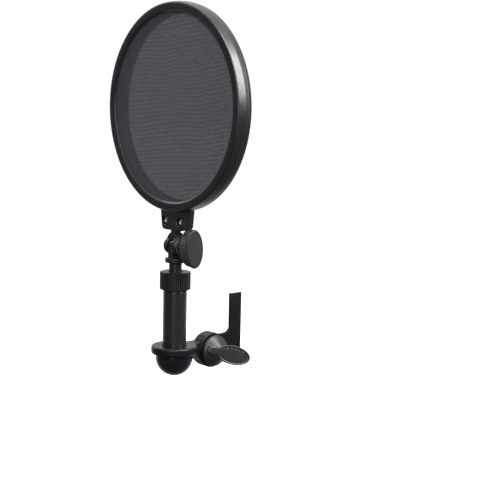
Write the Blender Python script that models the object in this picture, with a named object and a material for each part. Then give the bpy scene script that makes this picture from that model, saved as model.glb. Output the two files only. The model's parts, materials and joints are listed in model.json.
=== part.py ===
"""Pop filter on a swinging arm: a double mesh screen in a two-part ring, a tilting head on a height-adjusted
post, and a plate knuckle that a wing lever clamps to a short vertical leg.

Units are metres, +Z up. The ring's front faces -Y, and both hinge axes run along X with their knobs at +X.
The origin is the centre of the leg's flat top end, where the leg is held.
"""

import math

import bmesh
import bpy
from mathutils import Matrix, Vector

MM = 0.001
GAP = 0.3 * MM  # between pieces that touch on the real object

# Facets round a full turn
RING_STEPS = 56
PLATE_STEPS = 36
ROUND_STEPS = 28
SMALL_STEPS = 20

# Heights on the post's axis, measured from the top of the arm's flange
POST_HEIGHTS = {
    "tube_top": 45.3 * MM,
    "collar_base": 38.2 * MM,
    "collar_top": 50.3 * MM,
    "thrust_top": 58.8 * MM,
    "tilt_axis": 67.4 * MM,
    "block_base": 78.0 * MM,
    "ring_centre": 158.7 * MM,
}

# Ring and screen
RING_R = 68.5 * MM
RING_OPENING_R = 61.5 * MM
REAR_OPENING_R = 60.8 * MM
RIM_WALL = 2.5 * MM
RING_FRONT = -7.0 * MM
RING_BACK = 5.2 * MM
RIM_PARTING = 1.0 * MM
LIP = 1.3 * MM
MESH_T = 0.35 * MM
HOOP_R = 65.4 * MM
HOOP_WALL = 3.4 * MM

# Clamp block under the ring
BLOCK_HALF_TOP = 12.2 * MM
BLOCK_HALF_BASE = 10.5 * MM
BLOCK_FRONT = -3.8 * MM
BLOCK_BACK = 6.2 * MM
BLOCK_CORNER = 3.6 * MM
SCREW_X = 7.7 * MM
SCREW_RISE = 6.0 * MM
SPIGOT_HALF = 3.4 * MM
SPIGOT_FRONT = -1.8 * MM
SPIGOT_BACK = 3.6 * MM
SPIGOT_RISE = 11.2 * MM
NECK_R = 3.1 * MM
SCREW_SEAT = 2.0 * MM  # how deep the screw heads sit

# Tilt hinge
EAR_R = 5.8 * MM
EAR_INNER = 2.95 * MM
EAR_OUTER = 6.6 * MM
TONGUE_R = 4.5 * MM
TONGUE_HALF = 2.65 * MM
TILT_BOLT_R = 1.9 * MM
TILT_BORE_R = 2.2 * MM
KNOB_LONG = 13.0 * MM
KNOB_SHORT = 7.1 * MM
KNOB_FACE = 20.8 * MM
KNOB_BACK = 8.3 * MM
KNOB_BOSS_END = 12.0 * MM
KNOB_LEAN = math.radians(4)

# Post
THRUST_R = 7.0 * MM
THRUST_T = 2.4 * MM
ROD_R = 4.3 * MM
ROD_NECK_R = 3.0 * MM
TUBE_R = 7.95 * MM
TUBE_BORE_R = 5.9 * MM
COLLAR_R = 10.35 * MM
KNURLS = 32

# Arm and knuckle
FLANGE_R = 15.6 * MM
FLANGE_T = 5.5 * MM
DOME_R = 12.5 * MM
DOME_BASE = 20.8 * MM
PIVOT_Y = 30.5 * MM
PIVOT_DROP = 7.0 * MM
PLATE_R = 12.0 * MM
PLATE_T = 2.0 * MM
PIVOT_BORE_R = 2.8 * MM
CLAMP_BOLT_R = 2.4 * MM

# Leg
LEG_Y = 51.0 * MM
LEG_WIDTH = 10.0 * MM
LEG_T = 2.6 * MM
LEG_RISE = 31.0 * MM

# Wing lever
LEVER_OUTWARD = math.radians(21)
LEVER_DROOP = math.radians(17)
PADDLE_START_X = 12.0 * MM
PADDLE_REACH = 9.5 * MM
PADDLE_LONG = 12.9 * MM
PADDLE_SHORT = 6.6 * MM
PADDLE_T = 3.8 * MM

# The four knuckle plates, side by side along X and centred on the head
PLATE_PITCH = PLATE_T + GAP
PLATES = {name: (i - 1.5) * PLATE_PITCH for i, name in enumerate("ABCD")}
STACK_HALF = 1.5 * PLATE_PITCH + PLATE_T / 2

# World places
LEG_X = STACK_HALF - LEG_T / 2
POST = Vector((-LEG_X, -LEG_Y, -LEG_RISE))
PIVOT = POST + Vector((0, PIVOT_Y, -PIVOT_DROP))
TILT = POST + Vector((0, 0, POST_HEIGHTS["tilt_axis"]))
RING_CENTRE = POST + Vector((0, 0, POST_HEIGHTS["ring_centre"]))

TO_X = Matrix.Rotation(math.pi / 2, 4, "Y")  # turns a piece made about Z to lie about X
TO_Y = Matrix.Rotation(math.pi / 2, 4, "X")  # turns a piece made about Z so that its top faces -Y

COLOURS = {
    "rim_plastic": ((0.030, 0.030, 0.032), 0.45, 0.0),
    "mesh": ((0.055, 0.055, 0.062), 0.9, 0.0),
    "black_plastic": ((0.028, 0.028, 0.029), 0.5, 0.0),
    "knob_plastic": ((0.07, 0.07, 0.072), 0.5, 0.0),
    "black_metal": ((0.035, 0.034, 0.033), 0.4, 0.6),
    "nickel": ((0.6, 0.56, 0.48), 0.28, 1.0),
    "brass": ((0.7, 0.52, 0.25), 0.3, 1.0),
    "zinc": ((0.5, 0.5, 0.5), 0.35, 1.0),
}


def clear_scene():
    for obj in list(bpy.data.objects):
        bpy.data.objects.remove(obj, do_unlink=True)


def material(name, kind):
    colour, roughness, metallic = COLOURS[kind]
    mat = bpy.data.materials.new(name + "_material")
    mat.use_nodes = True
    shader = mat.node_tree.nodes["Principled BSDF"]
    shader.inputs["Base Color"].default_value = (*colour, 1)
    shader.inputs["Roughness"].default_value = roughness
    shader.inputs["Metallic"].default_value = metallic
    return mat


def add(name, bm, place, kind=None, turn=None):
    """Makes an object of bm at place. Without a material kind it is a hidden cutter or an added shape."""
    if turn is not None:
        bm.transform(turn)
    bmesh.ops.recalc_face_normals(bm, faces=bm.faces)
    mesh = bpy.data.meshes.new(name)
    bm.to_mesh(mesh)
    bm.free()
    mesh.shade_smooth()
    mesh.set_sharp_from_angle(angle=math.radians(35))
    obj = bpy.data.objects.new(name, mesh)
    obj.location = place
    bpy.context.scene.collection.objects.link(obj)
    if kind is None:
        obj.hide_render = True
        obj.display_type = "WIRE"
    else:
        mesh.materials.append(material(name, kind))
    return obj


def combine(obj, operation, *others):
    for other in others:
        modifier = obj.modifiers.new(other.name, "BOOLEAN")
        modifier.operation = operation
        modifier.solver = "EXACT"
        modifier.object = other


def turned(outline, steps):
    """A solid turned about Z from an outline of (radius, height) points."""
    bm = bmesh.new()
    verts = [bm.verts.new((r, 0, z)) for r, z in outline]
    pairs = list(zip(verts, verts[1:]))
    if outline[0][0] > 0 or outline[-1][0] > 0:
        pairs.append((verts[-1], verts[0]))
    edges = [bm.edges.new(pair) for pair in pairs]
    bmesh.ops.spin(
        bm, geom=verts + edges, cent=(0, 0, 0), axis=(0, 0, 1), angle=2 * math.pi, steps=steps, use_merge=True
    )
    bmesh.ops.remove_doubles(bm, verts=bm.verts, dist=1e-6)
    return bm


def rod_shape(radius, low, high, steps=ROUND_STEPS, chamfer=0.0):
    outline = [(0, low), (radius - chamfer, low)]
    if chamfer:
        outline += [(radius, low + chamfer), (radius, high - chamfer)]
    outline += [(radius - chamfer, high), (0, high)]
    return turned(outline, steps)


def ring_shape(inner, outer, low, high, steps=ROUND_STEPS, chamfer=0.0):
    outline = [(inner, low), (outer - chamfer, low)]
    if chamfer:
        outline += [(outer, low + chamfer), (outer, high - chamfer)]
    outline += [(outer - chamfer, high), (inner, high)]
    return turned(outline, steps)


def rounded(corners, steps=5):
    """Points of a closed outline whose corners (a, b, radius) are rounded with arcs."""
    points = []
    for i, (a, b, radius) in enumerate(corners):
        here = Vector((a, b))
        if radius == 0:
            points.append(here)
            continue
        before = (Vector(corners[i - 1][:2]) - here).normalized()
        after = (Vector(corners[(i + 1) % len(corners)][:2]) - here).normalized()
        half = before.angle(after) / 2
        centre = here + (before + after).normalized() * radius / math.sin(half)
        start = here + before * radius / math.tan(half) - centre
        end = here + after * radius / math.tan(half) - centre
        sweep = start.angle_signed(end)
        for k in range(steps + 1):
            points.append(centre + Matrix.Rotation(-sweep * k / steps, 2) @ start)
    return [(p.x, p.y) for p in points]


def prism(outline, low, high):
    """A straight solid along Z over an outline of (x, y) points."""
    bm = bmesh.new()
    face = bm.faces.new([bm.verts.new((a, b, low)) for a, b in outline])
    pushed = bmesh.ops.extrude_face_region(bm, geom=[face])["geom"]
    up = Vector((0, 0, high - low))
    bmesh.ops.translate(bm, verts=[v for v in pushed if isinstance(v, bmesh.types.BMVert)], vec=up)
    return bm


def circle(radius, steps, centre=(0, 0), start=0.0, sweep=2 * math.pi):
    count = steps if sweep >= 2 * math.pi else steps + 1
    angles = [start + sweep * k / steps for k in range(count)]
    return [(centre[0] + radius * math.cos(t), centre[1] + radius * math.sin(t)) for t in angles]


def box(low, high):
    bm = bmesh.new()
    bmesh.ops.create_cube(bm, size=1)
    size = [b - a for a, b in zip(low, high)]
    middle = [(a + b) / 2 for a, b in zip(low, high)]
    bmesh.ops.scale(bm, verts=bm.verts, vec=size)
    bmesh.ops.translate(bm, verts=bm.verts, vec=middle)
    return bm


# A prism over (y, z) points that runs along X: local x, y and z become world y, z and x
YZ_PRISM = Matrix(((0, 0, 1, 0), (1, 0, 0, 0), (0, 1, 0, 0), (0, 0, 0, 1)))
# A prism over (x, z) points that runs along Y: local x, y and z become world x, z and y
XZ_PRISM = Matrix(((1, 0, 0, 0), (0, 0, 1, 0), (0, 1, 0, 0), (0, 0, 0, 1)))


# ---- Ring, screen and clamp block ------------------------------------------------------------------------


def block_outline():
    """The clamp block's outline in x and z, about the tilt axis, up into the ring's wall."""
    base = POST_HEIGHTS["block_base"] - POST_HEIGHTS["tilt_axis"]
    top = POST_HEIGHTS["ring_centre"] - RING_R - POST_HEIGHTS["tilt_axis"] + 1.5 * MM
    return rounded(
        [
            (-BLOCK_HALF_TOP, top, 0),
            (-BLOCK_HALF_BASE, base, BLOCK_CORNER),
            (BLOCK_HALF_BASE, base, BLOCK_CORNER),
            (BLOCK_HALF_TOP, top, 0),
        ]
    )


def rim_mesh(outline):
    """A ring turned about Y from (radius, y) points, centred on the ring and placed about the tilt axis."""
    bm = turned([(r, -y) for r, y in outline], RING_STEPS)
    bm.transform(TO_Y)
    bmesh.ops.translate(bm, verts=bm.verts, vec=RING_CENTRE - TILT)
    return bm


def screw_axis(x):
    rise = POST_HEIGHTS["block_base"] - POST_HEIGHTS["tilt_axis"] + SCREW_RISE
    return Vector((x, 0, rise))


def along_y(bm, x):
    """Lays a piece made about Z on a block screw's axis, its top towards the front."""
    bm.transform(TO_Y)
    bmesh.ops.translate(bm, verts=bm.verts, vec=screw_axis(x))
    return bm


def front_rim():
    wall_r = RING_R - RIM_WALL
    rim = add(
        "front_rim",
        rim_mesh(
            [
                (RING_OPENING_R + 0.7 * MM, RING_FRONT),
                (RING_R - 1.6 * MM, RING_FRONT),
                (RING_R - 0.5 * MM, RING_FRONT + 1.1 * MM),
                (RING_R, RING_FRONT + 3.5 * MM),
                (RING_R, RIM_PARTING),
                (wall_r, RIM_PARTING),
                (wall_r, RING_FRONT + LIP),
                (RING_OPENING_R, RING_FRONT + LIP),
                (RING_OPENING_R, RING_FRONT + 0.7 * MM),
            ]
        ),
        TILT,
        "rim_plastic",
    )
    block = add("front_block", prism(block_outline(), BLOCK_FRONT, RIM_PARTING), TILT, turn=XZ_PRISM)
    combine(rim, "UNION", block)
    base = POST_HEIGHTS["block_base"] - POST_HEIGHTS["tilt_axis"]
    pocket_half = SPIGOT_HALF + GAP
    pocket_low = (-pocket_half, SPIGOT_FRONT - GAP, base - MM)
    pocket_high = (pocket_half, RIM_PARTING + MM, base + SPIGOT_RISE + GAP)
    pocket = add("spigot_pocket", box(pocket_low, pocket_high), TILT)
    neck = add("neck_clearance", rod_shape(NECK_R + GAP, base - MM, base + 1.2 * MM), TILT)
    combine(rim, "DIFFERENCE", pocket, neck)
    seat = -BLOCK_FRONT - SCREW_SEAT
    for side, x in (("left", -SCREW_X), ("right", SCREW_X)):
        hole = add(f"hole_{side}", along_y(rod_shape(1.6 * MM, -6 * MM, 6 * MM, SMALL_STEPS), x), TILT)
        head = add(f"head_recess_{side}", along_y(rod_shape(2.7 * MM, seat, 9 * MM, SMALL_STEPS), x), TILT)
        combine(rim, "DIFFERENCE", hole, head)


def rear_rim():
    wall_r = RING_R - RIM_WALL
    start = RIM_PARTING + GAP
    rim = add(
        "rear_rim",
        rim_mesh(
            [
                (wall_r, start),
                (RING_R - 0.3 * MM, start),
                (RING_R - 0.5 * MM, RING_BACK - 1.8 * MM),
                (RING_R - 1.9 * MM, RING_BACK),
                (REAR_OPENING_R + 0.6 * MM, RING_BACK),
                (REAR_OPENING_R, RING_BACK - 0.6 * MM),
                (REAR_OPENING_R, RING_BACK - LIP),
                (wall_r, RING_BACK - LIP),
            ]
        ),
        TILT,
        "rim_plastic",
    )
    block = add("rear_block", prism(block_outline(), start, BLOCK_BACK), TILT, turn=XZ_PRISM)
    combine(rim, "UNION", block)
    base = POST_HEIGHTS["block_base"] - POST_HEIGHTS["tilt_axis"]
    pocket_half = SPIGOT_HALF + GAP
    pocket_low = (-pocket_half, start - MM, base - MM)
    pocket_high = (pocket_half, SPIGOT_BACK + GAP, base + SPIGOT_RISE + GAP)
    pocket = add("spigot_pocket_rear", box(pocket_low, pocket_high), TILT)
    neck = add("neck_clearance_rear", rod_shape(NECK_R + GAP, base - MM, base + 1.2 * MM), TILT)
    combine(rim, "DIFFERENCE", pocket, neck)
    for side, x in (("left", -SCREW_X), ("right", SCREW_X)):
        insert = add(f"insert_bore_{side}", along_y(rod_shape(2.3 * MM, -4.9 * MM, 0, SMALL_STEPS), x), TILT)
        combine(rim, "DIFFERENCE", insert)


def screen():
    """Two stretched mesh discs and the hoop that holds them apart and against the lips."""
    front = RING_FRONT + LIP + 0.25 * MM
    back = RING_BACK - LIP - 0.25 * MM
    mesh_r = HOOP_R - 0.1 * MM
    for name, low, high in (("front_mesh", front, front + MESH_T), ("rear_mesh", back - MESH_T, back)):
        disc = turned([(0, -high), (mesh_r, -high), (mesh_r, -low), (0, -low)], RING_STEPS)
        disc.transform(TO_Y)
        add(name, disc, RING_CENTRE, "mesh")
    low = front + MESH_T + 0.25 * MM
    high = back - MESH_T - 0.25 * MM
    hoop = ring_shape(HOOP_R - HOOP_WALL, HOOP_R, -high, -low, RING_STEPS)
    hoop.transform(TO_Y)
    add("mesh_hoop", hoop, RING_CENTRE, "black_plastic")


def block_fasteners():
    """Two screws from the front and the threaded inserts in the rear half that they pull on."""
    seat = -BLOCK_FRONT - SCREW_SEAT + GAP
    end = -4.5 * MM
    for side, x in (("left", -SCREW_X), ("right", SCREW_X)):
        head = [(0, seat + 1.5 * MM), (1.1 * MM, seat + 1.5 * MM), (2.0 * MM, seat + MM), (2.3 * MM, seat)]
        shank = [(1.3 * MM, seat), (1.3 * MM, end), (0, end)]
        add(f"block_screw_{side}", along_y(turned(head + shank, SMALL_STEPS), x), TILT, "nickel")
        insert = ring_shape(1.6 * MM, 2.0 * MM, end - 0.1 * MM, end + 2.6 * MM, SMALL_STEPS)
        add(f"block_insert_{side}", along_y(insert, x), TILT, "brass")


# ---- Tilt hinge ------------------------------------------------------------------------------------------


def hexagon(across_flats):
    return circle(across_flats / math.sqrt(3), 6, start=math.pi / 6)


def hinge_fork():
    """Two round ears under a saddle, a neck, and the flat spigot that the block clamps."""
    ears = rod_shape(EAR_R, -EAR_OUTER, EAR_OUTER, ROUND_STEPS, 0.5 * MM)
    fork = add("hinge_fork", ears, TILT, "black_plastic", TO_X)
    gap = add("ear_gap", box((-EAR_INNER, -8 * MM, -8 * MM), (EAR_INNER, 8 * MM, 8 * MM)), TILT)
    saddle_half = 3.2 * MM
    saddle_outline = rounded(
        [
            (-3.6 * MM, 9.4 * MM, 1.0 * MM),
            (-6.0 * MM, 5.0 * MM, 0.6 * MM),
            (-4.2 * MM, 3.0 * MM, 0),
            (4.2 * MM, 3.0 * MM, 0),
            (6.0 * MM, 5.0 * MM, 0.6 * MM),
            (3.6 * MM, 9.4 * MM, 1.0 * MM),
        ],
        3,
    )
    saddle = add("saddle", prism(saddle_outline, -saddle_half, saddle_half), TILT, turn=XZ_PRISM)
    base = POST_HEIGHTS["block_base"] - POST_HEIGHTS["tilt_axis"]
    neck = add("fork_neck", rod_shape(NECK_R, 7 * MM, base + 0.9 * MM), TILT)
    spigot_low = (-SPIGOT_HALF, SPIGOT_FRONT, base + 0.3 * MM)
    spigot = add("fork_spigot", box(spigot_low, (SPIGOT_HALF, SPIGOT_BACK, base + SPIGOT_RISE)), TILT)
    sweep = add(
        "tongue_sweep",
        rod_shape(TONGUE_R + 0.6 * MM, -EAR_INNER, EAR_INNER, ROUND_STEPS),
        TILT,
        turn=TO_X,
    )
    bore = add("fork_bore", rod_shape(TILT_BORE_R, -9 * MM, 9 * MM, SMALL_STEPS), TILT, turn=TO_X)
    seat = add("nut_seat", prism(hexagon(6.7 * MM), -9 * MM, -EAR_OUTER + 2.7 * MM), TILT, turn=TO_X)
    combine(fork, "DIFFERENCE", gap)
    combine(fork, "UNION", saddle, neck, spigot)
    combine(fork, "DIFFERENCE", sweep, bore, seat)


def tilt_fasteners():
    nut = add("tilt_nut", prism(hexagon(6.1 * MM), -6.3 * MM, -4.2 * MM), TILT, "zinc", TO_X)
    nut_bore = add("tilt_nut_bore", rod_shape(TILT_BORE_R, -9 * MM, 0, SMALL_STEPS), TILT, turn=TO_X)
    combine(nut, "DIFFERENCE", nut_bore)
    add("tilt_bolt", rod_shape(TILT_BOLT_R, -6.3 * MM, 15.0 * MM, SMALL_STEPS), TILT, "zinc", TO_X)
    add("tilt_washer", ring_shape(TILT_BORE_R, 4.4 * MM, 6.9 * MM, 7.9 * MM, ROUND_STEPS), TILT, "zinc", TO_X)


def oval_rings(rings, steps, bore):
    """A solid about Z with oval cross-sections (z, long, short), and a round blind bore from its low end."""
    bm = bmesh.new()
    loops = []
    bore_r, bore_top = bore
    first = rings[0][0]
    sections = [(bore_top, bore_r, bore_r), (first, bore_r, bore_r)] + list(rings)
    for z, long, short in sections:
        turns = [2 * math.pi * k / steps for k in range(steps)]
        loops.append([bm.verts.new((short * math.cos(t), long * math.sin(t), z)) for t in turns])
    for lower, upper in zip(loops, loops[1:]):
        for k in range(steps):
            bm.faces.new((lower[k - 1], lower[k], upper[k], upper[k - 1]))
    bm.faces.new(loops[0])
    bm.faces.new(loops[-1])
    return bm


def tilt_knob():
    """An oval thumb knob, smaller at its back, moulded over the end of the tilt bolt."""
    edge = 0.9 * MM
    body = oval_rings(
        [
            (KNOB_BACK, 6.7 * MM, 6.2 * MM),
            (KNOB_BOSS_END, 6.1 * MM, 5.6 * MM),
            (KNOB_BOSS_END + 0.3 * MM, 11.0 * MM, 6.0 * MM),
            (KNOB_BOSS_END + 1.3 * MM, 12.1 * MM, 6.6 * MM),
            (KNOB_FACE - edge, KNOB_LONG, KNOB_SHORT),
            (KNOB_FACE, KNOB_LONG - edge, KNOB_SHORT - edge),
        ],
        40,
        (TILT_BORE_R, 15.3 * MM),
    )
    add("tilt_knob", body, TILT, "knob_plastic", Matrix.Rotation(KNOB_LEAN, 4, "X") @ YZ_PRISM)


def hinge_tongue():
    """The flat tongue between the ears, on a round thrust collar, with a stud down into the rod."""
    drop = POST_HEIGHTS["thrust_top"] - POST_HEIGHTS["tilt_axis"]
    outline = circle(TONGUE_R, 18, start=0.0, sweep=math.pi)
    outline += [(-TONGUE_R, drop - MM), (TONGUE_R, drop - MM)]
    tongue = add("hinge_tongue", prism(outline, -TONGUE_HALF, TONGUE_HALF), TILT, "black_metal", YZ_PRISM)
    collar = add("thrust_collar", rod_shape(THRUST_R, drop - THRUST_T, drop, ROUND_STEPS, 0.35 * MM), TILT)
    stud = add("tongue_stud", rod_shape(2.2 * MM, drop - THRUST_T - 8 * MM, drop - MM, SMALL_STEPS), TILT)
    bore = add("tongue_bore", rod_shape(TILT_BORE_R, -9 * MM, 9 * MM, SMALL_STEPS), TILT, turn=TO_X)
    combine(tongue, "UNION", collar, stud)
    combine(tongue, "DIFFERENCE", bore)


# ---- Post ------------------------------------------------------------------------------------------------


def inner_rod():
    """The sliding rod: a bore for the tongue's stud at its top and a thin neck for the guide bush below."""
    top = POST_HEIGHTS["thrust_top"] - THRUST_T - GAP
    outline = [
        (0, 5.4 * MM),
        (ROD_NECK_R, 5.4 * MM),
        (ROD_NECK_R, 13.3 * MM),
        (ROD_R, 13.3 * MM),
        (ROD_R, top),
        (2.5 * MM, top),
        (2.5 * MM, top - 8.3 * MM),
        (0, top - 8.3 * MM),
    ]
    add("inner_rod", turned(outline, ROUND_STEPS), POST, "black_metal")
    inner = ROD_NECK_R + GAP
    bush = ring_shape(inner, TUBE_BORE_R - GAP, 7.0 * MM, 13.0 * MM, ROUND_STEPS, 0.3 * MM)
    add("guide_bush", bush, POST, "knob_plastic")
    clip = add("rod_clip", ring_shape(inner, 4.6 * MM, 5.7 * MM, 6.7 * MM, SMALL_STEPS), POST, "zinc")
    mouth = add("clip_mouth", box((0, -1.4 * MM, 5 * MM), (6 * MM, 1.4 * MM, 7.5 * MM)), POST)
    combine(clip, "DIFFERENCE", mouth)


def outer_tube():
    seat = -2.7 * MM
    top = POST_HEIGHTS["tube_top"]
    outline = [
        (TUBE_BORE_R, seat),
        (TUBE_R, seat),
        (TUBE_R, top - 8.4 * MM),
        (TUBE_R - 0.6 * MM, top - 7.9 * MM),
        (TUBE_R - 0.6 * MM, top - 0.4 * MM),
        (TUBE_R - 1.0 * MM, top),
        (TUBE_BORE_R, top),
    ]
    add("outer_tube", turned(outline, ROUND_STEPS), POST, "black_metal")
    add("tube_plug", ring_shape(1.8 * MM, TUBE_BORE_R - GAP, seat, seat + 2.2 * MM), POST, "zinc")


def collet():
    """The split sleeve in the tube's mouth that the collar squeezes onto the rod."""
    inner = ROD_R + GAP
    rest = POST_HEIGHTS["tube_top"] + GAP
    outline = [
        (inner, rest - 8.3 * MM),
        (5.6 * MM, rest - 8.3 * MM),
        (5.6 * MM, rest),
        (7.0 * MM, rest),
        (7.0 * MM, rest + 0.9 * MM),
        (5.8 * MM, rest + 2.9 * MM),
        (inner, rest + 2.9 * MM),
    ]
    sleeve = add("collet", turned(outline, ROUND_STEPS), POST, "knob_plastic")
    slit = add("collet_slit", box((0, -0.5 * MM, rest - 9 * MM), (8 * MM, 0.5 * MM, rest + 4 * MM)), POST)
    combine(sleeve, "DIFFERENCE", slit)


def knurled_collar():
    """The knurled nut on the tube's thread, with a cone inside that meets the collet."""
    base = POST_HEIGHTS["collar_base"]
    top = POST_HEIGHTS["collar_top"]
    inside = [
        (ROD_R + 0.5 * MM, top),
        (ROD_R + 0.5 * MM, top - 1.5 * MM),
        (6.1 * MM, top - 1.5 * MM),
        (7.65 * MM, top - 3.7 * MM),
        (7.65 * MM, base),
    ]
    root = COLLAR_R - 0.35 * MM
    outside = [(root, base), (root, top - 0.8 * MM), (root - 0.7 * MM, top)]
    bm = turned(inside + outside, 2 * KNURLS)
    for vert in bm.verts:
        reach = math.hypot(vert.co.x, vert.co.y)
        turn = math.atan2(vert.co.y, vert.co.x) / (math.pi / KNURLS)
        on_ridge = round(turn) % 2 == 0
        if reach > root - 0.1 * MM and on_ridge:
            vert.co.x *= COLLAR_R / reach
            vert.co.y *= COLLAR_R / reach
    add("knurled_collar", bm, POST, "black_metal")


# ---- Arm, knuckle and leg --------------------------------------------------------------------------------


def plate_slot(name):
    """A cutter for the space that one of the four plates turns in."""
    half = PLATE_T / 2 + GAP
    return rod_shape(PLATE_R + 0.4 * MM, PLATES[name] - half, PLATES[name] + half, PLATE_STEPS)


def arm():
    """The flange under the post and the web that ends in knuckle plates A and C."""
    half = STACK_HALF
    flange_outline = [
        (2.4 * MM, -3.0 * MM),
        (2.4 * MM, -FLANGE_T - 2 * MM),
        (9.6 * MM, -FLANGE_T - 2 * MM),
        (9.6 * MM, -FLANGE_T),
        (FLANGE_R - 0.8 * MM, -FLANGE_T),
        (FLANGE_R, -FLANGE_T + 0.8 * MM),
        (FLANGE_R, -0.8 * MM),
        (FLANGE_R - 0.8 * MM, 0),
        (TUBE_R + GAP, 0),
        (TUBE_R + GAP, -3.0 * MM),
    ]
    body = add("arm", turned(flange_outline, PLATE_STEPS), POST, "black_plastic")
    start = TUBE_R + 2 * MM - PIVOT_Y
    inset = 0.2 * MM
    top = PIVOT_DROP - inset
    low = PIVOT_DROP - FLANGE_T + inset
    corners = [(start, top, 0), (start, low, 0), (-17 * MM, low, 3 * MM), (-10.6 * MM, -5.6 * MM, 0)]
    outline = rounded(corners)[:-1]
    outline += circle(PLATE_R, PLATE_STEPS, start=math.radians(-152), sweep=math.radians(152 + 144.5))
    web = add("arm_web", prism(outline, -half, half), PIVOT, turn=YZ_PRISM)
    slot_b = add("slot_b", plate_slot("B"), PIVOT, turn=TO_X)
    slot_d = add("slot_d", plate_slot("D"), PIVOT, turn=TO_X)
    bore = add("arm_bore", rod_shape(PIVOT_BORE_R, -9 * MM, 9 * MM, SMALL_STEPS), PIVOT, turn=TO_X)
    combine(web, "DIFFERENCE", slot_b, slot_d)
    combine(body, "UNION", web)
    combine(body, "DIFFERENCE", bore)


def dome_cap():
    """The bowl-shaped cap under the flange, hollow over the tube's screw."""
    top = -FLANGE_T - GAP
    base = -DOME_BASE
    wall = 1.5 * MM
    depth = top - base
    steps = 6
    outer = []
    inner = []
    for k in range(steps + 1):
        t = math.pi / 2 * k / steps
        outer.append((DOME_R * math.sin(t), base + (depth - 1.6 * MM) * (1 - math.cos(t))))
        inner.append(((DOME_R - wall) * math.sin(t), base + wall + (depth - 3.0 * MM) * (1 - math.cos(t))))
    outline = outer + [(DOME_R, top - 0.5 * MM), (DOME_R - 0.5 * MM, top), (10.0 * MM, top)]
    outline += [(10.0 * MM, top - 1.2 * MM)] + inner[::-1]
    add("dome_cap", turned(outline, PLATE_STEPS), POST, "black_plastic")


def tube_fasteners():
    """The screw that comes up through the flange into the tube's plug, and its washer."""
    seat = -FLANGE_T - 2 * MM - GAP
    add("tube_washer", ring_shape(2.4 * MM, 5.5 * MM, seat - MM, seat, ROUND_STEPS), POST, "zinc")
    head_top = seat - MM - GAP
    outline = [
        (0, head_top - 2.4 * MM),
        (2.6 * MM, head_top - 2.4 * MM),
        (3.8 * MM, head_top - 1.2 * MM),
        (3.8 * MM, head_top),
        (1.5 * MM, head_top),
        (1.5 * MM, -0.5 * MM),
        (0, -0.5 * MM),
    ]
    screw = add("tube_screw", turned(outline, SMALL_STEPS), POST, "zinc")
    drive = add("tube_screw_drive", prism(hexagon(2.5 * MM), head_top - 4 * MM, head_top - 1.0 * MM), POST)
    combine(screw, "DIFFERENCE", drive)


def mount_leg():
    """The leg: a flat strap whose foot carries knuckle plates B and D."""
    left = LEG_Y - PIVOT_Y - LEG_WIDTH / 2
    right = left + LEG_WIDTH
    top = LEG_RISE + PIVOT_DROP
    web_top = 10.9 * MM
    web_low = -9.0 * MM
    outline = circle(PLATE_R, PLATE_STEPS, start=math.radians(65), sweep=math.radians(360 - 65 - 48.6))
    corners = [(right, web_low, 7 * MM), (right, top, 0), (left, top, 0), (left, web_top, 6 * MM)]
    before = outline[-1]
    after = outline[0]
    ring = rounded([(*before, 0)] + corners + [(*after, 0)])
    outline = outline[:-1] + ring[:-1]
    low_x = PLATES["B"] - PLATE_T / 2
    leg = add("mount_leg", prism(outline, low_x, STACK_HALF), PIVOT, "black_metal", YZ_PRISM)
    slot = add("slot_c", plate_slot("C"), PIVOT, turn=TO_X)
    bore = add("leg_bore", rod_shape(PIVOT_BORE_R, -9 * MM, 9 * MM, SMALL_STEPS), PIVOT, turn=TO_X)
    thinning = add(
        "strap_thinning",
        prism(
            rounded(
                [
                    (16.2 * MM, -14 * MM, 0),
                    (40 * MM, -14 * MM, 0),
                    (40 * MM, top + MM, 0),
                    (-14 * MM, top + MM, 0),
                    (-14 * MM, 12.6 * MM, 0),
                    (16.2 * MM, 12.6 * MM, 0),
                ]
            ),
            low_x - MM,
            STACK_HALF - LEG_T,
        ),
        PIVOT,
        turn=YZ_PRISM,
    )
    combine(leg, "DIFFERENCE", thinning, slot, bore)


def clamp_fasteners():
    face = STACK_HALF + GAP
    add("lever_washer", ring_shape(PIVOT_BORE_R, 9.0 * MM, face, face + 0.8 * MM), PIVOT, "zinc", TO_X)
    add("nut_washer", ring_shape(PIVOT_BORE_R, 5.2 * MM, -face - MM, -face), PIVOT, "zinc", TO_X)
    nut_top = -face - MM - GAP
    nut = add("clamp_nut", prism(hexagon(8.0 * MM), nut_top - 4.0 * MM, nut_top), PIVOT, "zinc", TO_X)
    bore = add("clamp_nut_bore", rod_shape(CLAMP_BOLT_R + GAP, -15 * MM, 0, SMALL_STEPS), PIVOT, turn=TO_X)
    combine(nut, "DIFFERENCE", bore)
    bolt = rod_shape(CLAMP_BOLT_R, nut_top - 5.0 * MM, 11.4 * MM, SMALL_STEPS, 0.3 * MM)
    add("clamp_bolt", bolt, PIVOT, "zinc", TO_X)


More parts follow.
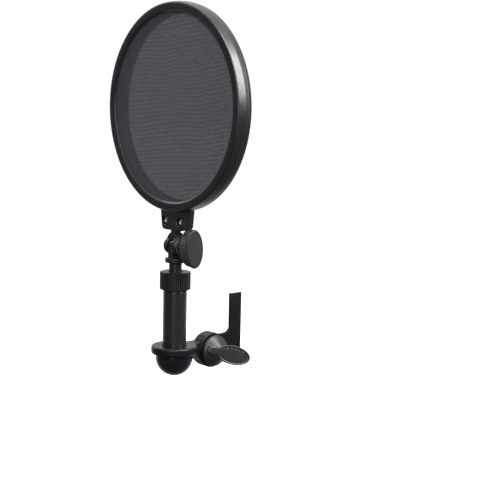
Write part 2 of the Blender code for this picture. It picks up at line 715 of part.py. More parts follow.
def wing_lever():
    """A conical hub and an oval paddle that leans outwards, so that it passes the leg and the flange."""
    base = STACK_HALF + 2 * GAP + 0.8 * MM
    hub_outline = [
        (0, base),
        (10.4 * MM, base),
        (10.8 * MM, base + 0.6 * MM),
        (10.6 * MM, base + 1.6 * MM),
        (5.6 * MM, base + 6.4 * MM),
        (4.2 * MM, base + 7.6 * MM),
        (0, base + 8.0 * MM),
    ]
    lever = add("wing_lever", turned(hub_outline, ROUND_STEPS), PIVOT, "black_plastic", TO_X)
    lean = Matrix.Rotation(-LEVER_DROOP, 4, "X") @ Matrix.Rotation(-LEVER_OUTWARD, 4, "Z")
    edge = 0.9 * MM
    half = PADDLE_T / 2
    paddle = bmesh.new()
    loops = []
    for x, inset in ((-half, edge), (-half + edge, 0), (half - edge, 0), (half, edge)):
        turns = [2 * math.pi * k / 44 for k in range(44)]
        loop = []
        for t in turns:
            along = PADDLE_REACH + (PADDLE_LONG - inset) * math.cos(t)
            loop.append(paddle.verts.new((x, along, (PADDLE_SHORT - inset) * math.sin(t))))
        loops.append(loop)
    for lower, upper in zip(loops, loops[1:]):
        for k in range(44):
            paddle.faces.new((lower[k - 1], lower[k], upper[k], upper[k - 1]))
    paddle.faces.new(loops[0])
    paddle.faces.new(loops[-1])
    oval = add("paddle", paddle, PIVOT, turn=Matrix.Translation((PADDLE_START_X, 0, 0)) @ lean)
    bore = add("lever_bore", rod_shape(CLAMP_BOLT_R + GAP, 0, 11.7 * MM, SMALL_STEPS), PIVOT, turn=TO_X)
    combine(lever, "UNION", oval)
    combine(lever, "DIFFERENCE", bore)


def build():
    clear_scene()
    mount_leg()
    arm()
    outer_tube()
    tube_fasteners()
    dome_cap()
    collet()
    knurled_collar()
    inner_rod()
    hinge_tongue()
    hinge_fork()
    tilt_fasteners()
    tilt_knob()
    front_rim()
    rear_rim()
    screen()
    block_fasteners()
    clamp_fasteners()
    wing_lever()


build()
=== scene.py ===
"""Looks for a pop filter on a swinging arm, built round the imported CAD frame.

Shapes are made in millimetres about a joint's or a node's own place, and turned into metres as they are
placed.
"""

import json
import math

import bmesh
import bpy
from mathutils import Matrix, Vector


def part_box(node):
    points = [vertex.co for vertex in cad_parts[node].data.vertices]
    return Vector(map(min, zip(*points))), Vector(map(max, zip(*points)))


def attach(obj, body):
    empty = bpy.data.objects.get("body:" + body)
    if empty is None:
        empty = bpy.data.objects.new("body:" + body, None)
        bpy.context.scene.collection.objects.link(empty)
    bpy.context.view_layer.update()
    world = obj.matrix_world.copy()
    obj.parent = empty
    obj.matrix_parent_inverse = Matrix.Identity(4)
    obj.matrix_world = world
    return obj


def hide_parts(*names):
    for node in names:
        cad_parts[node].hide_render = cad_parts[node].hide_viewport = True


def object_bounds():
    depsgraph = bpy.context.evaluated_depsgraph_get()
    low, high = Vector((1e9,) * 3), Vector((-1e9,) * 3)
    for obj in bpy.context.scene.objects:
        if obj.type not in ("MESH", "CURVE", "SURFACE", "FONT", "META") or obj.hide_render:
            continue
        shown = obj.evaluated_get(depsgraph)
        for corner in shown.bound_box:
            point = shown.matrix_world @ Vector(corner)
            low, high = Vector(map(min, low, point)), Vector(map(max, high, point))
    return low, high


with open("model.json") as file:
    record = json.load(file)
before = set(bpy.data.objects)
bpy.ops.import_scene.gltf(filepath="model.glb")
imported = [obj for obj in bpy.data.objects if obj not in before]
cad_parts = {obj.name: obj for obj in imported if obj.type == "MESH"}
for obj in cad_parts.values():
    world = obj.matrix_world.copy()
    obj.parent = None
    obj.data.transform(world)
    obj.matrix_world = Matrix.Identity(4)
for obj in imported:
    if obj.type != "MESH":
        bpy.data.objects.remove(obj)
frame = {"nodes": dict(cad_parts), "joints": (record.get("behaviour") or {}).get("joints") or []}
CAD_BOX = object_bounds()

MM = 0.001
NO_TURN = Matrix.Identity(4)
TO_X = Matrix.Rotation(math.pi / 2, 4, "Y")
TO_FRONT = Matrix.Rotation(math.pi / 2, 4, "X")  # a piece made about Z then has its top towards -Y
YZ_PRISM = Matrix(((0, 0, 1, 0), (1, 0, 0, 0), (0, 1, 0, 0), (0, 0, 0, 1)))
XZ_PRISM = Matrix(((1, 0, 0, 0), (0, 0, 1, 0), (0, 1, 0, 0), (0, 0, 0, 1)))

# ---- Places, from the frame ------------------------------------------------------------------------------

JOINT_AT = {j["name"]: Vector(j["pos_m"]) for j in frame["joints"] if "pos_m" in j}
PIVOT = JOINT_AT["arm_swing"]
TILT = JOINT_AT["head_tilt"]
POST = Vector((TILT.x, TILT.y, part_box("outer_tube")[0].z + 2.7 * MM))
RING = (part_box("front_mesh")[0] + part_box("front_mesh")[1]) / 2
RING.y = POST.y
TILT_RISE = (TILT.z - POST.z) / MM
RING_RISE = (RING.z - TILT.z) / MM

# ---- Camera, light and floor -----------------------------------------------------------------------------


CAMERA_AT = (0.5816, -0.5140, 0.1392)
CAMERA_TURN = (47.82, 7.99, 1.315)  # yaw, pitch and roll in degrees
SENSOR_WIDTH = 36
FOCAL_PER_WIDTH = 1128 / 500  # the focal length as a share of the image's width


def camera():
    """The photograph's viewpoint, fitted to the ring, the post, the flange and the leg."""
    yaw, pitch, roll = (math.radians(a) for a in CAMERA_TURN)
    forward = Vector((-math.sin(yaw) * math.cos(pitch), math.cos(yaw) * math.cos(pitch), -math.sin(pitch)))
    level = Vector((math.cos(yaw), math.sin(yaw), 0))
    upright = level.cross(forward)
    right = math.cos(roll) * level + math.sin(roll) * upright
    up = -math.sin(roll) * level + math.cos(roll) * upright
    data = bpy.data.cameras.new("camera")
    data.sensor_width = SENSOR_WIDTH
    data.lens = SENSOR_WIDTH * FOCAL_PER_WIDTH
    data.clip_start = 0.01
    data.clip_end = 60
    obj = bpy.data.objects.new("camera", data)
    turn = Matrix((right, up, -forward)).transposed().to_4x4()
    obj.matrix_world = Matrix.Translation(CAMERA_AT) @ turn
    bpy.context.scene.collection.objects.link(obj)
    bpy.context.scene.camera = obj


LIGHTS_AIM = Vector((0, -0.04, 0.06))
# Name, azimuth, elevation, distance, size and power. Azimuth 0 is in front of the ring, at -Y, and 90 at +X.
SOFTBOXES = (
    ("key", 118, 34, 1.0, (0.26, 0.75), 20),
    ("front_fill", 42, 17, 1.2, (0.42, 0.85), 8.5),
    ("left_strip", -80, 30, 1.2, (0.2, 0.8), 2.5),
    ("top", 105, 66, 1.1, (0.35, 0.4), 14),
    ("edge", 62, 40, 1.2, (0.4, 0.3), 4.5),
)


def area_light(name, azimuth, elevation, distance, size, power):
    """A softbox aimed at the ring."""
    data = bpy.data.lights.new(name, "AREA")
    data.shape = "RECTANGLE"
    data.size, data.size_y = size
    data.energy = power
    a, e = math.radians(azimuth), math.radians(elevation)
    away = Vector((math.sin(a) * math.cos(e), -math.cos(a) * math.cos(e), math.sin(e)))
    place = LIGHTS_AIM + distance * away
    obj = bpy.data.objects.new(name, data)
    obj.location = place
    obj.rotation_euler = (LIGHTS_AIM - place).to_track_quat("-Z", "Y").to_euler()
    bpy.context.scene.collection.objects.link(obj)


FLOOR_DROP = 0.2  # clears the screen at its lowest pose
FLOOR_R = 12
FRONT_GLOW = 0.2  # the studio behind the camera
BACKDROP_GLOW = 1.02  # the white backdrop
ZENITH_GLOW = 1.55  # overhead
BACKDROP_WAY = (-0.74, 0.67, 0.0)  # from the camera towards the backdrop
FADE = (0.25, 0.85)  # cosines between which one glow gives way to the next


def studio():
    """White backdrop, dimmer room behind the camera, and softboxes."""
    world = bpy.data.worlds.new("studio")
    bpy.context.scene.world = world
    world.use_nodes = True
    tree = world.node_tree
    place = tree.nodes.new("ShaderNodeTexCoord").outputs["Generated"]

    def towards(direction):
        dot = tree.nodes.new("ShaderNodeVectorMath")
        dot.operation = "DOT_PRODUCT"
        dot.inputs[1].default_value = direction
        tree.links.new(place, dot.inputs[0])
        ramp = tree.nodes.new("ShaderNodeMapRange")
        ramp.interpolation_type = "SMOOTHSTEP"
        ramp.inputs["From Min"].default_value = FADE[0]
        ramp.inputs["From Max"].default_value = FADE[1]
        tree.links.new(dot.outputs["Value"], ramp.inputs["Value"])
        return ramp.outputs["Result"]

    def blend(factor, first, second):
        mix = tree.nodes.new("ShaderNodeMix")
        mix.data_type = "RGBA"
        tree.links.new(factor, mix.inputs[0])
        for socket, value in ((mix.inputs[6], first), (mix.inputs[7], second)):
            if isinstance(value, float):
                socket.default_value = (value, value, value, 1)
            else:
                tree.links.new(value, socket)
        return mix.outputs[2]

    sides = blend(towards(BACKDROP_WAY), FRONT_GLOW, BACKDROP_GLOW)
    dome_light = blend(towards((0.0, 0.0, 1.0)), sides, ZENITH_GLOW)
    seen = tree.nodes.new("ShaderNodeLightPath").outputs["Is Camera Ray"]
    backdrop = blend(seen, dome_light, BACKDROP_GLOW)  # white behind the object in every view
    background = tree.nodes["Background"]
    tree.links.new(backdrop, background.inputs["Color"])
    for softbox in SOFTBOXES:
        area_light(*softbox)
    bpy.context.scene.view_settings.view_transform = "Standard"
    lay_floor()


def lay_floor():
    """A pale floor that the camera sees but that casts no light or reflection on the object."""
    floor_mesh = bpy.data.meshes.new("floor")
    bm = bmesh.new()
    bmesh.ops.create_circle(bm, cap_ends=True, radius=FLOOR_R, segments=96)
    bm.to_mesh(floor_mesh)
    bm.free()
    floor = bpy.data.objects.new("floor", floor_mesh)
    floor.location.z = CAD_BOX[0].z - FLOOR_DROP
    bpy.context.scene.collection.objects.link(floor)
    floor_mesh.materials.append(floor_material())
    floor.visible_diffuse = False
    floor.visible_glossy = False


# ---- Materials -------------------------------------------------------------------------------------------


class Nodes:
    """A material's node tree, with short calls for the nodes used here."""

    def __init__(self, name):
        self.material = bpy.data.materials.new(name)
        self.material.use_nodes = True
        self.tree = self.material.node_tree
        self.shader = self.tree.nodes["Principled BSDF"]
        self.place = self.new("ShaderNodeTexCoord").outputs["Object"]

    def new(self, kind, **settings):
        node = self.tree.nodes.new(kind)
        for key, value in settings.items():
            setattr(node, key, value)
        return node

    def link(self, source, target):
        self.tree.links.new(source, target)

    def math(self, operation, a, b=None, c=None):
        node = self.new("ShaderNodeMath", operation=operation)
        for socket, value in zip(node.inputs, (a, b, c)):
            if isinstance(value, (int, float)):
                socket.default_value = value
            elif value is not None:
                self.link(value, socket)
        return node.outputs[0]

    def noise(self, size, detail=3.0, rough=0.55, stretch=(1, 1, 1)):
        """Noise whose features are about size metres across, stretched along the axes."""
        mapping = self.new("ShaderNodeMapping")
        mapping.inputs["Scale"].default_value = stretch
        self.link(self.place, mapping.inputs["Vector"])
        node = self.new("ShaderNodeTexNoise")
        node.inputs["Scale"].default_value = 1 / size
        node.inputs["Detail"].default_value = detail
        node.inputs["Roughness"].default_value = rough
        self.link(mapping.outputs["Vector"], node.inputs["Vector"])
        return node.outputs["Fac"]

    def ramp(self, value, low, high, to_low=0.0, to_high=1.0):
        node = self.new("ShaderNodeMapRange", clamp=True)
        self.link(value, node.inputs["Value"])
        for key, number in (("From Min", low), ("From Max", high), ("To Min", to_low), ("To Max", to_high)):
            node.inputs[key].default_value = number
        return node.outputs["Result"]

    def mix(self, factor, a, b):
        node = self.new("ShaderNodeMix", data_type="RGBA")
        self.link(factor, node.inputs["Factor"])
        for key, value in (("A", a), ("B", b)):
            socket = [s for s in node.inputs if s.name == key and s.type == "RGBA"][0]
            if isinstance(value, tuple):
                socket.default_value = (*value, 1)
            else:
                self.link(value, socket)
        return [s for s in node.outputs if s.type == "RGBA"][0]

    def bump(self, height, distance, strength=1.0, under=None):
        node = self.new("ShaderNodeBump")
        node.inputs["Strength"].default_value = strength
        node.inputs["Distance"].default_value = distance
        self.link(height, node.inputs["Height"])
        if under is not None:
            self.link(under, node.inputs["Normal"])
        return node.outputs["Normal"]


def tint(colour, factor):
    return tuple(c * factor for c in colour)


def plastic(name, colour, rough, grain, grain_depth, wear=0.0, gloss=0.5):
    """Moulded plastic: a fine grain, slow changes of tone and polish, and edges rubbed a little lighter."""
    n = Nodes(name)
    cloudy = n.noise(14 * MM, 4)
    specks = n.noise(0.9 * MM, 2, 0.7)
    tone = n.mix(n.ramp(cloudy, 0.3, 0.7), tint(colour, 0.9), tint(colour, 1.1))
    tone = n.mix(n.ramp(specks, 0.58, 0.78, 0, 0.3), tone, tint(colour, 1.6))
    if wear:
        edge = n.new("ShaderNodeNewGeometry").outputs["Pointiness"]
        rubbed = n.math("MULTIPLY", n.ramp(edge, 0.515, 0.60), n.ramp(n.noise(2.5 * MM, 4), 0.35, 0.75))
        tone = n.mix(n.math("MULTIPLY", rubbed, wear), tone, tint(colour, 4.5))
    n.link(tone, n.shader.inputs["Base Color"])
    n.link(n.ramp(n.noise(6 * MM, 5), 0.3, 0.72, rough - 0.03, rough + 0.04), n.shader.inputs["Roughness"])
    fine = n.noise(grain, 3, 0.6)
    soft = n.noise(5 * MM, 2)
    n.link(n.bump(fine, grain_depth, 0.6, n.bump(soft, 0.05 * MM, 0.4)), n.shader.inputs["Normal"])
    n.shader.inputs["Specular IOR Level"].default_value = gloss
    return n.material


def paint(name, colour, rough, wear=0.5, gloss=0.2, peel_depth=0.004 * MM, bare=(0.12, 0.115, 0.11)):
    """Thin satin paint over metal: orange peel, faint upright drag marks and slight wear on its edges."""
    n = Nodes(name)
    cloudy = n.noise(9 * MM, 5)
    drag = n.noise(0.5 * MM, 3, 0.6, (1, 1, 0.05))
    tone = n.mix(n.ramp(cloudy, 0.3, 0.7), tint(colour, 0.9), tint(colour, 1.1))
    tone = n.mix(n.ramp(drag, 0.5, 0.8, 0, 0.25), tone, tint(colour, 1.5))
    edge = n.new("ShaderNodeNewGeometry").outputs["Pointiness"]
    rubbed = n.math("MULTIPLY", n.ramp(edge, 0.52, 0.62), n.ramp(n.noise(1.6 * MM, 5), 0.42, 0.7))
    tone = n.mix(n.math("MULTIPLY", rubbed, wear), tone, bare)
    n.link(tone, n.shader.inputs["Base Color"])
    slow = n.ramp(n.noise(4 * MM, 5), 0.3, 0.7, rough - 0.03, rough + 0.03)
    streaks = n.ramp(drag, 0.3, 0.8, -0.02, 0.02)
    n.link(n.math("ADD", slow, streaks), n.shader.inputs["Roughness"])
    peel = n.noise(0.8 * MM, 2, 0.5)
    n.link(n.bump(peel, peel_depth, 0.8, n.bump(drag, peel_depth, 0.4)), n.shader.inputs["Normal"])
    n.shader.inputs["Specular IOR Level"].default_value = gloss
    return n.material


def metal(name, colour, rough, brushed=(1, 1, 1), stain=(0.25, 0.22, 0.18)):
    """Plated metal: brushed or turned marks, and dull patches in it."""
    n = Nodes(name)
    marks = n.noise(0.35 * MM, 4, 0.6, brushed)
    patches = n.noise(2.2 * MM, 5, 0.6)
    tone = n.mix(n.ramp(marks, 0.3, 0.75), tint(colour, 0.86), tint(colour, 1.08))
    tone = n.mix(n.ramp(patches, 0.56, 0.8, 0, 0.45), tone, stain)
    n.link(tone, n.shader.inputs["Base Color"])
    n.link(n.ramp(patches, 0.3, 0.75, rough - 0.05, rough + 0.15), n.shader.inputs["Roughness"])
    n.link(n.bump(marks, 0.02 * MM, 0.5), n.shader.inputs["Normal"])
    n.shader.inputs["Metallic"].default_value = 1.0
    return n.material


def woven(name, colour, pitches, turn, cover, depth):
    """Fine open weave: round threads that pass over and under, with painted shade where a thread dips under
    and a painted highlight where it passes over, and holes whose soft edges let light through.
    cover is the mean share of the light each set of threads stops, and depth how far that varies across a
    thread."""
    n = Nodes(name)
    mapping = n.new("ShaderNodeMapping")
    mapping.inputs["Rotation"].default_value = (0, math.radians(turn), 0)
    n.link(n.place, mapping.inputs["Vector"])
    parts = n.new("ShaderNodeSeparateXYZ")
    n.link(mapping.outputs["Vector"], parts.inputs[0])
    lines = []
    for axis, pitch, wide, sway in (("X", pitches[0], 60 * MM, 0.5), ("Z", pitches[1], 50 * MM, 0.9)):
        place = n.math("DIVIDE", parts.outputs[axis], pitch)
        place = n.math("ADD", place, n.ramp(n.noise(wide, 1, 0.3), 0.25, 0.75, -sway, sway))
        lines.append(n.math("ADD", place, n.ramp(n.noise(5 * MM, 2), 0.2, 0.8, -0.05, 0.05)))
    through, heights = [], []
    for here, other, phase in ((lines[0], lines[1], 0.0), (lines[1], lines[0], 1.0)):
        wave = n.math("COSINE", n.math("MULTIPLY", here, 2 * math.pi))
        through.append(n.math("MULTIPLY_ADD", wave, -depth, 1 - cover))
        count = n.math("ADD", n.math("FLOOR", n.math("ADD", here, 0.5)), phase)
        weave = n.math("COSINE", n.math("MULTIPLY", n.math("ADD", other, count), math.pi))
        lift = n.math("MULTIPLY_ADD", weave, 0.5, 1.0)
        heights.append(n.math("MULTIPLY", n.ramp(wave, -0.2, 1.0), lift))
    height = n.math("MAXIMUM", heights[0], heights[1])
    uneven = n.ramp(n.noise(1.1 * MM, 3, 0.8), 0.34, 0.7, 0.55, 1.5)
    hole = n.math("MULTIPLY", n.math("MULTIPLY", through[0], through[1]), uneven)
    n.link(n.math("SUBTRACT", 1, hole), n.shader.inputs["Alpha"])
    # painted shade and painted highlight: a thread's colour is darker where it dips under a crossing thread
    # or rounds away at its sides, and lighter on its crown where it passes over
    tone = n.mix(n.ramp(height, 0.1, 1.4), tint(colour, 0.5), tint(colour, 1.3))
    tone = n.mix(n.ramp(n.noise(1.1 * MM, 3, 0.7), 0.55, 0.8, 0, 0.5), tone, tint(colour, 2.2))
    n.link(tone, n.shader.inputs["Base Color"])
    n.link(n.bump(height, 0.1 * MM, 0.6), n.shader.inputs["Normal"])
    n.link(n.ramp(height, 0.2, 1.4, 0.8, 0.55), n.shader.inputs["Roughness"])
    n.shader.inputs["Sheen Weight"].default_value = 0.15
    n.shader.inputs["Specular IOR Level"].default_value = 0.15
    return n.material


def floor_material():
    """Pale paper with hardly any change of tone."""
    n = Nodes("floor_paper")
    tone = n.mix(n.ramp(n.noise(0.4, 3), 0.3, 0.7), (0.895, 0.895, 0.895), (0.91, 0.91, 0.91))
    n.link(tone, n.shader.inputs["Base Color"])
    n.shader.inputs["Roughness"].default_value = 0.8
    n.shader.inputs["Specular IOR Level"].default_value = 0.2
    return n.material


# ---- Mesh work, in millimetres ---------------------------------------------------------------------------


def rounded(corners, steps=5):
    """Points of a closed outline whose corners (a, b, radius) are rounded with arcs."""
    points = []
    for i, (a, b, radius) in enumerate(corners):
        here = Vector((a, b))
        if radius == 0:
            points.append(here)
            continue
        before = (Vector(corners[i - 1][:2]) - here).normalized()
        after = (Vector(corners[(i + 1) % len(corners)][:2]) - here).normalized()
        half = before.angle(after) / 2
        centre = here + (before + after).normalized() * radius / math.sin(half)
        start = here + before * radius / math.tan(half) - centre
        end = here + after * radius / math.tan(half) - centre
        sweep = start.angle_signed(end)
        for k in range(steps + 1):
            points.append(centre + Matrix.Rotation(-sweep * k / steps, 2) @ start)
    return [(p.x, p.y) for p in points]


def arc(radius, steps, start=0.0, sweep=360.0, centre=(0, 0)):
    """Points on an arc, in degrees. A full circle doesn't repeat its first point."""
    count = steps if abs(sweep) >= 360 else steps + 1
    angles = [math.radians(start + sweep * k / steps) for k in range(count)]
    return [(centre[0] + radius * math.cos(t), centre[1] + radius * math.sin(t)) for t in angles]


def lathe(profile, steps=96, stretch=(1, 1), ripple=None):
    """A closed solid turned about Z from (radius, height) points, stretched across into an oval if asked.
    ripple(angle, point index) gives a change of radius."""
    bm = bmesh.new()
    loops = []
    for i, (r, z) in enumerate(profile):
        if r == 0:
            loops.append([bm.verts.new((0, 0, z))])
            continue
        loop = []
        for k in range(steps):
            t = 2 * math.pi * k / steps
            reach = r + (ripple(t, i) if ripple else 0)
            loop.append(bm.verts.new((reach * stretch[0] * math.cos(t), reach * stretch[1] * math.sin(t), z)))
        loops.append(loop)
    pairs = list(zip(loops, loops[1:]))
    if len(loops[0]) > 1 or len(loops[-1]) > 1:
        pairs.append((loops[-1], loops[0]))
    for a, b in pairs:
        for k in range(steps):
            corners = [a[k % len(a)], a[(k + 1) % len(a)], b[(k + 1) % len(b)], b[k % len(b)]]
            unique = list(dict.fromkeys(corners))
            if len(unique) > 2:
                bm.faces.new(unique)
    return bm


def inset(outline, distance):
    """The outline moved inwards by distance. Its points run anticlockwise."""
    moved = []
    for i, point in enumerate(outline):
        here = Vector(point)
        before = (here - Vector(outline[i - 1])).normalized()
        after = (Vector(outline[(i + 1) % len(outline)]) - here).normalized()
        normals = [Vector((-d.y, d.x)) for d in (before, after)]
        middle = (normals[0] + normals[1]).normalized()
        moved.append(tuple(here + middle * distance / max(0.4, middle.dot(normals[0]))))
    return moved


def slab(outline, low, high, edge=0.0, steps=3):
    """A straight solid along Z over an outline, its long edges rounded by edge."""
    area = sum(a[0] * b[1] - b[0] * a[1] for a, b in zip(outline, outline[1:] + outline[:1]))
    if area < 0:
        outline = outline[::-1]
    levels = [(0, low), (0, high)]
    if edge:
        turns = [math.pi / 2 * k / steps for k in range(steps + 1)]
        levels = [(edge * (1 - math.sin(t)), low + edge * (1 - math.cos(t))) for t in turns]
        levels += [(edge * (1 - math.cos(t)), high - edge * (1 - math.sin(t))) for t in turns]
    bm = bmesh.new()
    loops = []
    for distance, z in levels:
        points = inset(outline, distance) if distance > 1e-9 else outline
        loops.append([bm.verts.new((a, b, z)) for a, b in points])
    for lower, upper in zip(loops, loops[1:]):
        for k in range(len(outline)):
            bm.faces.new((lower[k - 1], lower[k], upper[k], upper[k - 1]))
    bm.faces.new(loops[0][::-1])
    bm.faces.new(loops[-1])
    return bm


def square(a0, b0, a1, b1):
    """The four corners of an upright rectangle."""
    return [(a0, b0), (a1, b0), (a1, b1), (a0, b1)]


def make(name, bm, at, turn=NO_TURN):
    """An object of a mesh in millimetres, turned, in metres about the point at."""
    bm.transform(Matrix.Translation(at) @ Matrix.Scale(MM, 4) @ turn)
    bmesh.ops.recalc_face_normals(bm, faces=bm.faces)
    mesh = bpy.data.meshes.new(name)
    bm.to_mesh(mesh)
    bm.free()
    obj = bpy.data.objects.new(name, mesh)
    bpy.context.scene.collection.objects.link(obj)
    return obj


def pin(name, radius, low, high, steps, at, turn=NO_TURN):
    """A plain round solid, for a bore or a joint."""
    return make(name, lathe([(0, low), (radius, low), (radius, high), (0, high)], steps), at, turn)


def settle(obj):
    """Applies obj's modifiers to its mesh."""
    bpy.context.view_layer.update()
    shaped = obj.evaluated_get(bpy.context.evaluated_depsgraph_get())
    mesh = bpy.data.meshes.new_from_object(shaped)
    obj.modifiers.clear()
    old = obj.data
    obj.data = mesh
    bpy.data.meshes.remove(old)


def combine(obj, operation, *others):
    """Joins the others to obj, or cuts them from it, and removes them."""
    for other in others:
        modifier = obj.modifiers.new("combine", "BOOLEAN")
        modifier.operation = operation
        modifier.solver = "EXACT"
        modifier.object = other
        settle(obj)
        old = other.data
        bpy.data.objects.remove(other)
        bpy.data.meshes.remove(old)


def melt(obj, voxel, rounds):
    """Remeshes obj and smooths it, so that its parts run into each other in fillets."""
    remesh = obj.modifiers.new("remesh", "REMESH")
    remesh.mode = "VOXEL"
    remesh.voxel_size = voxel * MM
    smooth = obj.modifiers.new("smooth", "SMOOTH")
    smooth.factor = 0.5
    smooth.iterations = rounds
    settle(obj)


def show(obj, body, slot, material, *nodes, sharp=32, weighted=True):
    """Finishes a piece: smooth shading, its material, its body and the CAD nodes that it stands for."""
    mesh = obj.data
    mesh.shade_smooth()
    if sharp:
        mesh.set_sharp_from_angle(angle=math.radians(sharp))
    if weighted:
        modifier = obj.modifiers.new("weighted", "WEIGHTED_NORMAL")
        modifier.keep_sharp = True
        settle(obj)
    obj.data.materials.clear()
    obj.data.materials.append(MATERIALS[material])
    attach(obj, body)
    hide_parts(*nodes)


# ---- Ring, screen and clamp block ------------------------------------------------------------------------

RING_R = 68.5
OPENING_R = 61.5
WALL_R = 66.0
PARTING = 1.0
GAP = 0.3
BLOCK_TOP = RING_RISE - RING_R + 1.6
BLOCK_BASE = 78.0 - TILT_RISE
SCREWS = {"left": -7.7, "right": 7.7}
SCREW_Z = BLOCK_BASE + 6.0
SCREW_SEAT = 2.1
TILT_BORE_R = 2.2


def ring_of(name, profile):
    """A ring from (radius, y) points about the ring's centre."""
    return make(name, lathe([(r, -y) for r, y in profile], 224), RING, TO_FRONT)


def block_of(name, low, high):
    """One half of the clamp block, narrower and rounded at its foot."""
    corners = [(-12.2, BLOCK_TOP, 0), (-10.5, BLOCK_BASE, 3.6), (10.5, BLOCK_BASE, 3.6), (12.2, BLOCK_TOP, 0)]
    return make(name, slab(rounded(corners, 9), low, high, 0.55, 4), TILT, XZ_PRISM)


def spigot_room(ring, low, high):
    """Cuts the pocket that holds the fork's spigot, and its round mouth, from a half of the block."""
    corners = square(-3.7, BLOCK_BASE - 1, 3.7, BLOCK_BASE + 11.5)
    pocket = make("pocket", slab(corners, low, high), TILT, XZ_PRISM)
    foot, neck = BLOCK_BASE, BLOCK_BASE + 0.5
    outline = [(0, foot - 2), (4.2, foot - 2), (4.2, foot), (3.4, neck), (3.4, neck + 0.7), (0, neck + 0.7)]
    combine(ring, "DIFFERENCE", pocket, make("mouth", lathe(outline, 48), TILT))


def screw_place(x):
    return TILT + Vector((x, 0, SCREW_Z)) * MM


def front_ring():
    """The front half: a bevelled lip, a flat face and the deep outer wall."""
    profile = [(OPENING_R, -5.5), (OPENING_R, -5.7)]
    profile += [(61.6, -5.9), (62.5, -6.68), (62.85, -6.88), (63.3, -6.97)]
    profile += [(66.2, -7.0), (66.9, -6.92), (67.35, -6.72), (67.7, -6.35), (67.85, -5.9)]
    profile += [(68.42, -1.9), (68.49, -1.5), (RING_R, -1.1), (RING_R, 0.62), (68.42, 0.82), (68.2, PARTING)]
    profile += [(WALL_R, PARTING), (WALL_R, -5.5)]
    ring = ring_of("ring_front", profile)
    combine(ring, "UNION", block_of("block_front", -3.8, PARTING - 0.02))
    spigot_room(ring, -2.1, 3)
    for x in SCREWS.values():
        recess = [(0, -6), (1.6, -6), (1.6, 1.8), (2.7, 1.8), (2.7, 3.4), (3.15, 3.82), (3.15, 9), (0, 9)]
        combine(ring, "DIFFERENCE", make("recess", lathe(recess, 40), screw_place(x), TO_FRONT))
    show(ring, "head", "rim_plastic", "rim", "front_rim", sharp=35)


def rear_ring():
    """The rear half, rounder and set a little inside the front one."""
    profile = [(WALL_R, PARTING + GAP), (68.0, PARTING + GAP), (68.22, 1.5), (68.26, 1.75), (68.05, 3.3)]
    profile += [(67.9, 3.8), (67.6, 4.3), (67.15, 4.75), (66.6, 5.05), (66.0, 5.2), (61.9, 5.2), (61.4, 5.1)]
    profile += [(61.0, 4.85), (60.8, 4.5), (60.8, 3.9), (WALL_R, 3.9)]
    ring = ring_of("ring_rear", profile)
    combine(ring, "UNION", block_of("block_rear", PARTING + GAP + 0.02, 6.2))
    spigot_room(ring, 0, 3.9)
    for x in SCREWS.values():
        combine(ring, "DIFFERENCE", pin("bore", 2.3, -4.9, 0, 40, screw_place(x), TO_FRONT))
    show(ring, "head", "rim_plastic", "rim", "rear_rim", sharp=35)


CLOTH_STEPS = 160
CLOTH_RINGS = 24


def screen_cloth(name, node, material, bulge):
    """One stretched disc of cloth, very slightly uneven where its threads pull on the hoop."""
    low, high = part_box(node)
    centre = (low + high) / 2
    radius = (high.x - low.x) / 2 / MM
    bm = bmesh.new()
    loops = [[bm.verts.new((0, 0, bulge))]]
    for i in range(1, CLOTH_RINGS + 1):
        out = i / CLOTH_RINGS
        r = radius * i / CLOTH_RINGS
        loop = []
        for k in range(CLOTH_STEPS):
            t = 2 * math.pi * k / CLOTH_STEPS
            pull = 0.05 * math.sin(9 * t + i * 0.4) * out**3 + 0.04 * math.sin(5 * t - i * 0.3) * out
            rise = bulge * (1 - out**2) + pull * (1 - out**8)
            loop.append(bm.verts.new((r * math.cos(t), r * math.sin(t), rise)))
        loops.append(loop)
    for a, b in zip(loops, loops[1:]):
        for k in range(CLOTH_STEPS):
            corners = [a[k % len(a)], b[k], b[(k + 1) % CLOTH_STEPS], a[(k + 1) % len(a)]]
            bm.faces.new(list(dict.fromkeys(corners)))
    cloth = make(name, bm, centre, TO_FRONT)
    show(cloth, "head", "mesh", material, node, sharp=0, weighted=False)


def screen():
    """The hoop and the two cloths stretched over it."""
    low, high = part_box("mesh_hoop")
    front, back = (low.y - RING.y) / MM, (high.y - RING.y) / MM
    inner, outer, e = 62.0, 65.4, 0.3
    profile = [(inner + e, front), (outer - e, front), (outer, front + e), (outer, back - e)]
    profile += [(outer - e, back), (inner + e, back), (inner, back - e), (inner, front + e)]
    hoop = ring_of("screen_hoop", profile)
    show(hoop, "head", "black_plastic", "hoop", "mesh_hoop")
    screen_cloth("screen_front", "front_mesh", "cloth_front", 0.12)
    screen_cloth("screen_rear", "rear_mesh", "cloth_rear", -0.12)


def block_screws():
    """Socket screws in the block's recesses."""
    seat = SCREW_SEAT
    for side, x in SCREWS.items():
        head = [(0, seat + 0.6), (1.3, seat + 0.6), (1.6, seat + 0.52), (1.85, seat + 0.35)]
        head += [(1.95, seat + 0.1), (1.95, seat)]
        profile = head + [(1.3, seat), (1.3, -4.2), (1.0, -4.5), (0, -4.5)]
        at = screw_place(x)
        screw = make(f"screw_{side}", lathe(profile, 48), at, TO_FRONT)
        socket = make("socket", slab(arc(1.15, 6, 30), seat + 0.08, seat + 3), at, TO_FRONT)
        combine(screw, "DIFFERENCE", socket)
        show(screw, "head", "nickel", "nickel", f"block_screw_{side}")


# ---- Tilt hinge ------------------------------------------------------------------------------------------


